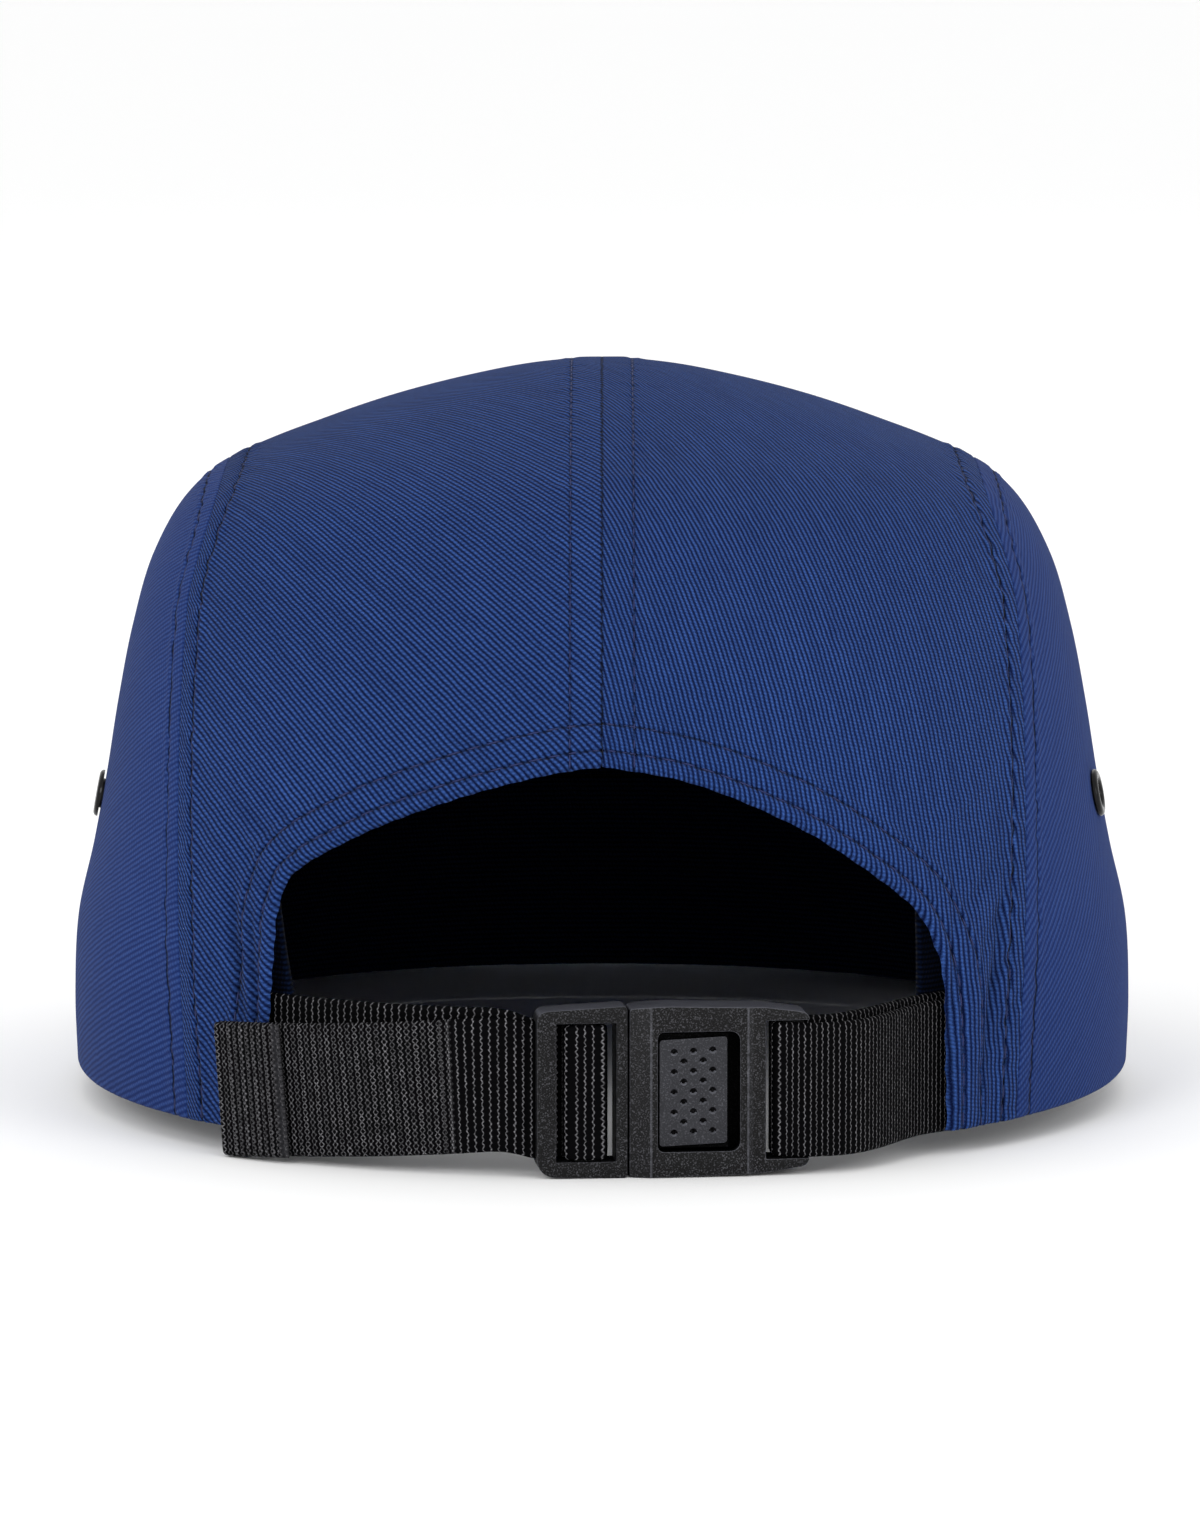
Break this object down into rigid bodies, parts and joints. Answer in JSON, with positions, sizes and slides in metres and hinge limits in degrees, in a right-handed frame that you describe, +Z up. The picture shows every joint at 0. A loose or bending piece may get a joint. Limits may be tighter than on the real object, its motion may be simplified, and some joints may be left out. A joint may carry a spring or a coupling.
{
  "type": "five panel cap",
  "caption": "Soft five panel cap with a flat peak, an arched back opening and a webbing strap closed by a push button buckle.",
  "frame": {"origin": "on the ground under the middle of the cap's box, as it rests on its peak and its buckle", "axes": "+X to the wearer's left, +Y to the back of the cap, where the strap is, +Z up"},
  "size_m": [0.166, 0.2664, 0.1138],
  "materials": {
    "twill": "blue cotton twill, matte, with fine diagonal ridges",
    "webbing": "near black synthetic webbing with ribs across its width",
    "buckle": "black moulded plastic with a fine grain",
    "eyelet": "black enamelled metal, glossy"
  },
  "bodies": {
    "root": {"front_panel": "twill", "side_panel_left": "twill", "side_panel_right": "twill", "top_panel_left": "twill", "top_panel_right": "twill", "sweatband": "twill", "peak": "twill", "strap_left": "webbing", "strap_right": "webbing", "buckle_clip": "buckle", "buckle_socket": "buckle", "eyelet_left": "eyelet", "eyelet_right": "eyelet"}
  },
  "joints": []
}
